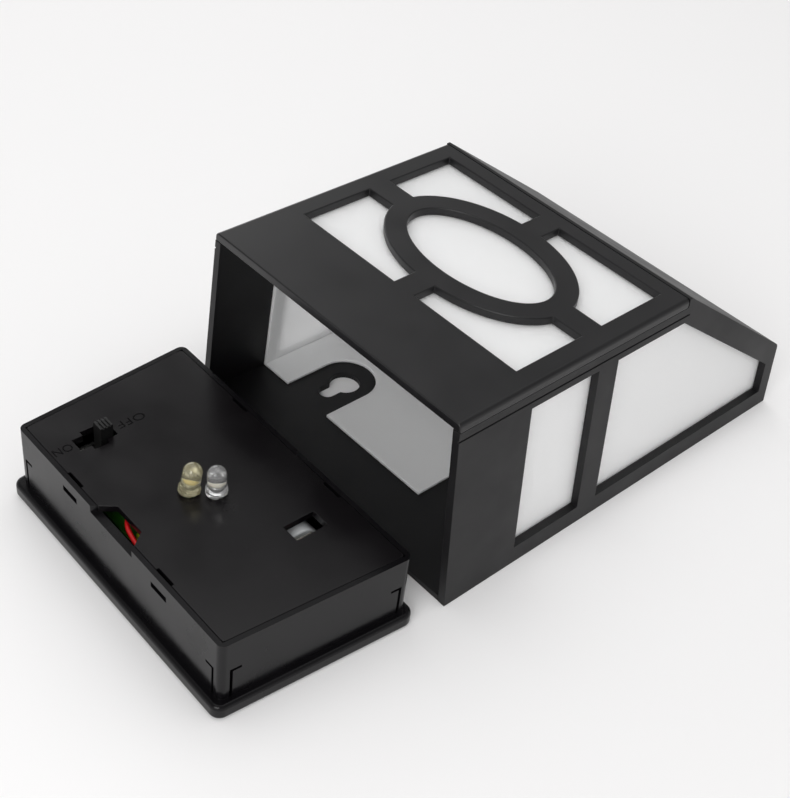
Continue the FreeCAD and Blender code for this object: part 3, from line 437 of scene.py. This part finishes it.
# Each word's middle in the module's frame, and how far the word is stretched along its line.
WORDS = {"ON": ((-31.0, -22.0), 0.95), "OFF": ((-31.0, -1.6), 1.25)}


def etched_word(word, centre_mm, stretch):
    """A word etched beside the switch: a hair's breadth proud, read along the slot."""
    curve = bpy.data.curves.new("word_" + word, "FONT")
    curve.body = word
    curve.size = LETTER_HIGH_MM * MM / CAP_PER_SIZE
    curve.align_x = "CENTER"
    curve.align_y = "CENTER"
    curve.extrude = LETTER_PROUD_MM * MM
    curve.offset = -LETTER_SLIM_MM * MM
    curve.space_character = LETTER_SPACING
    text = in_scene("word_" + word, curve)
    mesh = plain_mesh(text)
    bpy.data.objects.remove(text)
    spot = MODULE @ Matrix.Translation(Vector((*centre_mm, 0)) * MM)
    turn = Matrix.Rotation(math.radians(WORD_TURN_DEG), 4, "Z") @ Matrix.Scale(stretch, 4, (1, 0, 0))
    mesh.transform(Matrix.Translation((0, 0, COVER_TOP)) @ spot @ turn)
    work = bmesh.new()
    work.from_mesh(mesh)
    bmesh.ops.remove_doubles(work, verts=work.verts, dist=LETTER_MERGE_MM * MM)
    bmesh.ops.recalc_face_normals(work, faces=work.faces)
    work.to_mesh(mesh)
    work.free()
    return in_scene("etched_" + word.lower(), mesh)


def make_lettering():
    """The words at the two ends of the switch's slot."""
    for word, (centre_mm, stretch) in WORDS.items():
        dress(etched_word(word, centre_mm, stretch), LETTER_ABS_PAINTED_SHADE, "solar_module", "black_cover")


# Each lamp's foot in the module's frame, and its lean: how far, and about which level axis.
LAMP_FOOT_MM = {"near": (-0.2, -4.4, 24.5), "far": (4.0, 1.0, 24.5)}
LAMP_LEAN_DEG = {"near": (-9.0, (0.6, -0.2, 0.0)), "far": (4.5, (0.3, 0.5, 0.0))}
PHOSPHORS = {"near": NEAR_PHOSPHOR, "far": FAR_PHOSPHOR}
# Half sections of the cup and of the drop over it: radius, and height above the lamp's foot.
CUP_OUTLINE_MM = [(0.0, 1.6), (0.55, 1.6), (0.75, 2.0), (1.25, 3.1), (1.35, 3.1), (1.45, 2.6),
                  (0.95, 1.3), (0.5, 0.9), (0.0, 0.9)]
PHOSPHOR_OUTLINE_MM = [(0.0, 2.9), (0.9, 2.95), (1.15, 3.2), (1.05, 3.6), (0.6, 3.95), (0.0, 4.05)]
POST_LOW_MM = (-1.9, -0.22, 0.2)
POST_HIGH_MM = (-1.45, 0.22, 3.6)


def lamp_place(lamp):
    """Where a lamp stands: the module's place, the lamp's foot and its lean."""
    angle, axis = LAMP_LEAN_DEG[lamp]
    lean = Matrix.Rotation(math.radians(angle), 4, Vector(axis).normalized())
    return MODULE @ Matrix.Translation(Vector(LAMP_FOOT_MM[lamp]) * MM) @ lean


def make_lamp_insides():
    """In each clear lamp: the silvered cup, the drop of phosphor over it and the second post."""
    for lamp, phosphor in PHOSPHORS.items():
        place = lamp_place(lamp)
        cup = turned("lamp_cup_" + lamp, CUP_OUTLINE_MM)
        cup.data.transform(place)
        dress(cup, TIN, "solar_module", "tinned_steel")
        drop = turned("lamp_phosphor_" + lamp, PHOSPHOR_OUTLINE_MM)
        drop.data.transform(place)
        dress(drop, phosphor, "solar_module", "clear_epoxy")
        post = slab("lamp_post_" + lamp, POST_LOW_MM, POST_HIGH_MM)
        post.data.transform(place)
        dress(post, TIN, "solar_module", "tinned_steel")


PANEL_LONG_MM = 82.0
PANEL_WIDE_MM = 46.0
CELL_COUNT = 6
CELL_GAP_MM = 0.6
CELL_MARGIN_MM = 3.0
CELL_FACE_MM = 1.0      # the height above the table of the cells' face, which looks down
FINGER_PITCH_MM = 2.0
FINGER_WIDE_MM = 0.16
FINGER_SHORT_MM = 0.6   # how much shorter a finger is than its cell is wide
BUSBAR_WIDE_MM = 1.0
BUSBAR_SHORT_MM = 1.0   # how much shorter a busbar is than its cell is long
PASTE_THICK_MM = 0.04
BUSBAR_THICK_MM = PASTE_THICK_MM * 1.5


def bar_rows_tree(name, material):
    """A node tree that lays one bar in columns and rows, all its sizes as named inputs."""
    tree, sockets = rule_tree(name, {
        "Columns": "NodeSocketInt", "Rows": "NodeSocketInt", "Pitch": "NodeSocketVector",
        "Bar": "NodeSocketVector", "First": "NodeSocketVector"})
    given = add(tree, "NodeGroupInput")
    pitch = add(tree, "ShaderNodeSeparateXYZ", links={0: given.outputs["Pitch"]})
    column_gaps = add(tree, "ShaderNodeMath", {"operation": "SUBTRACT"}, {1: 1.0},
                      {0: given.outputs["Columns"]})
    row_gaps = add(tree, "ShaderNodeMath", {"operation": "SUBTRACT"}, {1: 1.0},
                   {0: given.outputs["Rows"]})
    wide = add(tree, "ShaderNodeMath", {"operation": "MULTIPLY"},
               links={0: column_gaps.outputs[0], 1: pitch.outputs["X"]})
    long = add(tree, "ShaderNodeMath", {"operation": "MULTIPLY"},
               links={0: row_gaps.outputs[0], 1: pitch.outputs["Y"]})
    grid = add(tree, "GeometryNodeMeshGrid",
               links={"Size X": wide.outputs[0], "Size Y": long.outputs[0],
                      "Vertices X": given.outputs["Columns"], "Vertices Y": given.outputs["Rows"]})
    moved = add(tree, "GeometryNodeTransform",
                links={"Geometry": grid.outputs["Mesh"], "Translation": given.outputs["First"]})
    bar = add(tree, "GeometryNodeMeshCube", links={"Size": given.outputs["Bar"]})
    laid = add(tree, "GeometryNodeInstanceOnPoints",
               links={"Points": moved.outputs["Geometry"], "Instance": bar.outputs["Mesh"]})
    end_rule(tree, laid.outputs["Instances"], material)
    return tree, sockets


def make_cell_metal():
    """The fired silver fingers across every cell strip, and the busbar down its middle."""
    pitch = (PANEL_LONG_MM - 2 * CELL_MARGIN_MM + CELL_GAP_MM) / CELL_COUNT
    strip = pitch - CELL_GAP_MM
    height = PANEL_WIDE_MM - 2 * CELL_MARGIN_MM
    level = (CELL_FACE_MM - PASTE_THICK_MM / 2) * MM
    sizes = {
        "cell_fingers": {
            "Columns": CELL_COUNT, "Rows": int(height / FINGER_PITCH_MM),
            "Pitch": (pitch * MM, FINGER_PITCH_MM * MM, 0.0),
            "Bar": ((strip - FINGER_SHORT_MM) * MM, FINGER_WIDE_MM * MM, PASTE_THICK_MM * MM),
        },
        "cell_busbars": {
            "Columns": CELL_COUNT, "Rows": 1, "Pitch": (pitch * MM, 0.0, 0.0),
            "Bar": (BUSBAR_WIDE_MM * MM, (height - BUSBAR_SHORT_MM) * MM, BUSBAR_THICK_MM * MM),
        },
    }
    for name, given in sizes.items():
        tree, sockets = bar_rows_tree(name + "_rule", SILVER)
        piece = made_by_rule(name, tree, sockets, {**given, "First": (0.0, 0.0, level)})
        piece.data.transform(MODULE)
        dress(piece, SILVER, "solar_module", "silicon")


COIL_AT_MM = (-7.6, -4.4, 16.3)
COIL_RADIUS_MM = 2.3
COIL_WIRE_MM = 0.3
COIL_TURNS = 9
COIL_STEPS = 24         # straight pieces in each turn
COIL_SIDES = 8


def make_coil_winding():
    """The inductor's enamelled wire, wound as one helix between its flanges."""
    labels = ("Turns", "Radius", "Height", "Wire")
    tree, sockets = rule_tree("winding_rule", {label: "NodeSocketFloat" for label in labels})
    given = add(tree, "NodeGroupInput")
    helix = add(tree, "GeometryNodeCurveSpiral", values={"Resolution": COIL_STEPS},
                links={"Rotations": given.outputs["Turns"], "Start Radius": given.outputs["Radius"],
                       "End Radius": given.outputs["Radius"], "Height": given.outputs["Height"]})
    section = add(tree, "GeometryNodeCurvePrimitiveCircle", values={"Resolution": COIL_SIDES},
                  links={"Radius": given.outputs["Wire"]})
    tube = add(tree, "GeometryNodeCurveToMesh", values={"Fill Caps": True},
               links={"Curve": helix.outputs["Curve"], "Profile Curve": section.outputs["Curve"]})
    end_rule(tree, tube.outputs["Mesh"], COPPER)
    piece = made_by_rule("coil_winding", tree, sockets, {
        "Turns": float(COIL_TURNS), "Radius": COIL_RADIUS_MM * MM,
        "Height": COIL_TURNS * COIL_WIRE_MM * MM, "Wire": COIL_WIRE_MM / 2 * MM})
    piece.data.transform(MODULE @ Matrix.Translation(Vector(COIL_AT_MM) * MM))
    shade_smooth(piece)
    dress(piece, COPPER, "solar_module", "copper_winding")


def finish_carried_nodes():
    """The CAD nodes that stay as they are, each with its own finish."""
    finishes = {
        "panel_seal": FOAM, "panel_board": LAMINATE, "solar_cells": SILICON, "panel_resin": PANEL_EPOXY,
        "circuit_board": SOLDER_MASK, "board_screws": ZINC, "switch_body": TIN, "led_leads": TIN,
        "battery": SLEEVE, "battery_holder": HOLDER, "plus_contact": NICKEL, "spring_contact": NICKEL,
        "driver_chip": CHIP, "inductor": FERRITE, "resistor": LACQUER, "red_wire": RED_VINYL,
        "yellow_wire": YELLOW_VINYL, "black_wire": BLACK_VINYL, "led_near": NEAR_LAMP_EPOXY,
        "led_far": FAR_LAMP_EPOXY,
    }
    for node, material in finishes.items():
        dress_node(node, material)


# ------------------------------------------------------- floor, light and camera

TABLE_REACH = 6.0
TABLE_DROP_MM = 0.05    # keeps the table clear of the faces that rest on it


def plain_floor():
    """A wide pale table, whose colour is all that makes the background."""
    mesh = bpy.data.meshes.new("table")
    level = -TABLE_DROP_MM * MM
    sides = ((-1, -1), (1, -1), (1, 1), (-1, 1))
    corners = [(x * TABLE_REACH, y * TABLE_REACH, level) for x, y in sides]
    mesh.from_pydata(corners, [], [(0, 1, 2, 3)])
    floor = in_scene("table", mesh)
    material, tree, output, _ = new_material("pale matt table")
    shader = add(tree, "ShaderNodeBsdfPrincipled",
                 values={"Base Color": linear("#f1f0f0"), "Roughness": 0.75, "Specular IOR Level": 0.2})
    finish_surface(tree, output, shader)
    mesh.materials.append(material)


def pale_world():
    """An even white light, with a backdrop for the eye, gloss and clear parts that darkens upwards."""
    world = bpy.data.worlds.new("studio")
    bpy.context.scene.world = world
    world.use_nodes = True
    tree = world.node_tree
    tree.nodes.clear()
    path = add(tree, "ShaderNodeLightPath")
    seen = add(tree, "ShaderNodeMath", {"operation": "MAXIMUM"},
               links={0: path.outputs["Is Camera Ray"], 1: path.outputs["Is Glossy Ray"]})
    seen_through = add(tree, "ShaderNodeMath", {"operation": "MAXIMUM"},
                       links={0: seen.outputs[0], 1: path.outputs["Is Transmission Ray"]})
    light = add(tree, "ShaderNodeBackground", values={"Color": linear("#ffffff"), "Strength": 0.66})
    heading = add(tree, "ShaderNodeTexCoord").outputs["Generated"]
    height = add(tree, "ShaderNodeSeparateXYZ", links={"Vector": heading}).outputs["Z"]
    fall = add(tree, "ShaderNodeMapRange",
               values={"From Min": 0.05, "From Max": 0.5, "To Min": 1.0, "To Max": 0.38},
               links={"Value": height})
    backdrop = add(tree, "ShaderNodeBackground", values={"Color": linear("#f3f3f3")},
                   links={"Strength": fall.outputs["Result"]})
    choice = add(tree, "ShaderNodeMixShader",
                 links={0: seen_through.outputs[0], 1: light.outputs[0], 2: backdrop.outputs[0]})
    output = add(tree, "ShaderNodeOutputWorld")
    finish_surface(tree, output, choice)


# Where each softbox stands, what it looks at, its side in metres and its power in watts.
SOFTBOXES = {
    "overhead_softbox": ((-0.15, 0.15, 1.0), (0, 0, 0), 0.9, 2.2),
    "front_softbox": ((0.4, -0.85, 0.65), (0, 0, 0.02), 0.6, 5.5),
    "left_softbox": ((-1.2, 0.5, 0.5), (0, 0, 0.02), 0.7, 2.2),
}


def softbox(name, place, aim, across, power):
    """A square soft light that looks at a point."""
    lamp = bpy.data.lights.new(name, "AREA")
    lamp.shape = "SQUARE"
    lamp.size = across
    lamp.energy = power
    holder = in_scene(name, lamp)
    holder.location = place
    holder.rotation_euler = (Vector(aim) - Vector(place)).to_track_quat("-Z", "Y").to_euler()


def set_lights():
    """The surround, and the softboxes above, at the mouth and at the left."""
    pale_world()
    for name, (place, aim, across, power) in SOFTBOXES.items():
        softbox(name, place, aim, across, power)


PHOTO_WIDE = 790
PHOTO_HIGH = 798
FOCAL_PX = 1373.5
CENTRE_PX = (398.7, 400.4)
CAMERA_AT = (0.19953, -0.22160, 0.26961)
LOOK = (-0.51681, 0.55731, -0.64985)
CAMERA_RIGHT = (0.66716, 0.73787, 0.10221)
SENSOR_MM = 36.0
NEAREST_SEEN = 0.01


def set_camera():
    """The photograph's own viewpoint, found from the housing's and module's corners."""
    lens = bpy.data.cameras.new("photo_view")
    lens.sensor_fit = "HORIZONTAL"
    lens.sensor_width = SENSOR_MM
    lens.lens = SENSOR_MM * FOCAL_PX / PHOTO_WIDE
    lens.shift_x = (PHOTO_WIDE / 2 - CENTRE_PX[0]) / PHOTO_WIDE
    lens.shift_y = (CENTRE_PX[1] - PHOTO_HIGH / 2) / PHOTO_WIDE
    lens.clip_start = NEAREST_SEEN
    right = Vector(CAMERA_RIGHT).normalized()
    back = -Vector(LOOK).normalized()
    up = back.cross(right).normalized()
    turn = Matrix((right, up, back)).transposed().to_4x4()
    camera = in_scene("photo_view", lens)
    camera.matrix_world = Matrix.Translation(CAMERA_AT) @ turn
    bpy.context.scene.camera = camera


make_housing()
make_module_shells()
make_lettering()
make_lamp_insides()
make_cell_metal()
make_coil_winding()
finish_carried_nodes()
plain_floor()
set_lights()
set_camera()
bpy.context.scene.view_settings.view_transform = "Standard"
